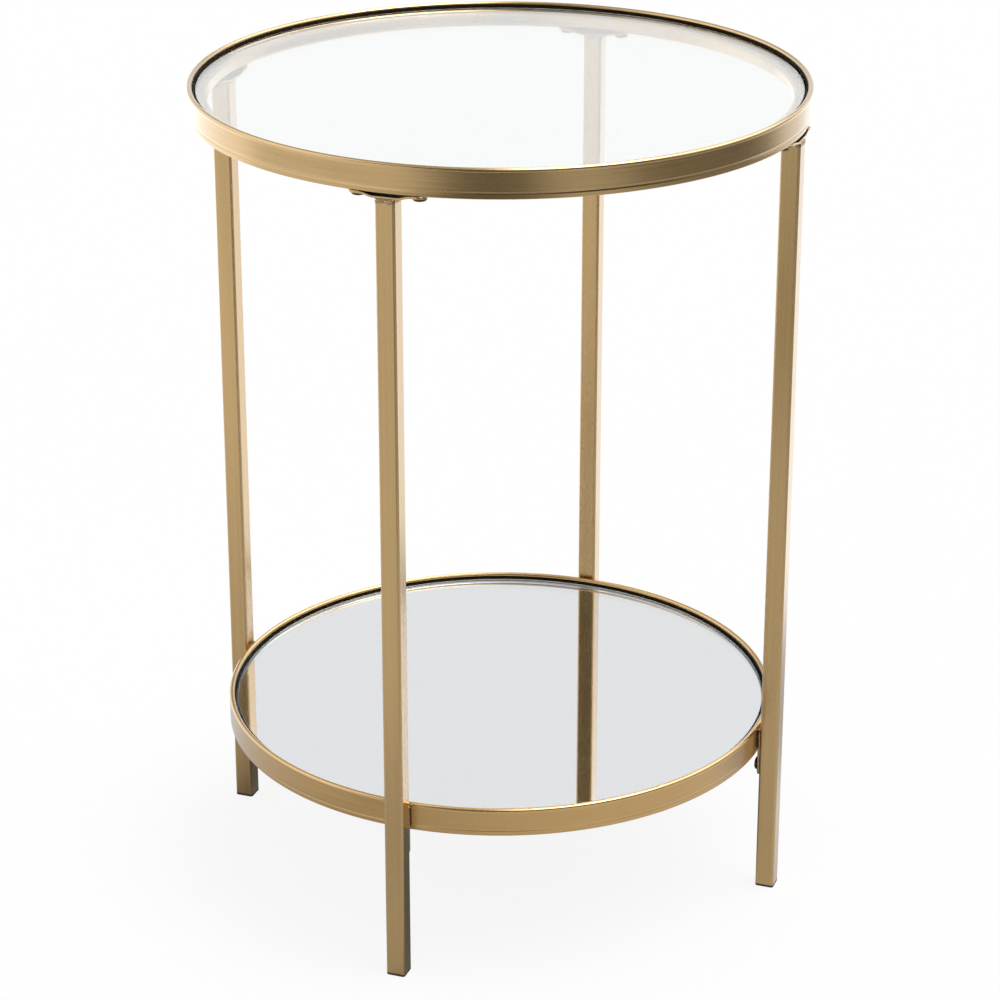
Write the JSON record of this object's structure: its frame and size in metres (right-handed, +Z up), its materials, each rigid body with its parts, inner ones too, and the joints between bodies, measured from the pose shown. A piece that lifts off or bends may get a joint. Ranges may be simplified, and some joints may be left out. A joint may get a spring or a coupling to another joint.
{
  "type": "side table",
  "caption": "Round two-tier side table with a recessed glass top, a mirror lower shelf and slim square legs in satin champagne-gold metal.",
  "frame": {"origin": "on the floor under the centre of the table", "axes": "+Z up; the four legs stand on the X and Y axes, the front leg on -Y and the right leg on +X"},
  "size_m": [0.401, 0.401, 0.55],
  "materials": {
    "gold_metal": "satin",
    "clear_glass": "gloss",
    "mirror": "gloss",
    "clear_silicone": "satin",
    "bronzed_steel": "satin",
    "zinc_steel": "satin",
    "dark_plastic": "matte"
  },
  "bodies": {
    "frame": {"top_ring": "gold_metal", "lower_ring": "gold_metal", "glass_pads": "clear_silicone", "mirror_pads": "clear_silicone", "top_ring_screws": "bronzed_steel", "top_ring_inserts": "zinc_steel", "shelf_screws": "bronzed_steel", "leg_inserts": "zinc_steel", "leg_front": "gold_metal", "leg_right": "gold_metal", "leg_back": "gold_metal", "leg_left": "gold_metal", "leg_plate_front": "gold_metal", "leg_plate_right": "gold_metal", "leg_plate_back": "gold_metal", "leg_plate_left": "gold_metal", "shelf_tab_front": "gold_metal", "shelf_tab_right": "gold_metal", "shelf_tab_back": "gold_metal", "shelf_tab_left": "gold_metal", "foot_plug_front": "dark_plastic", "foot_plug_right": "dark_plastic", "foot_plug_back": "dark_plastic", "foot_plug_left": "dark_plastic"},
    "glass": {"glass_top": "clear_glass"},
    "mirror": {"mirror_shelf": "mirror"}
  },
  "joints": [
    {"name": "glass_lift", "type": "slide", "parent": "frame", "child": "glass", "axis": [0, 0, 1], "range_m": [0, 0.06]},
    {"name": "mirror_lift", "type": "slide", "parent": "frame", "child": "mirror", "axis": [0, 0, 1], "range_m": [0, 0.42]}
  ]
}
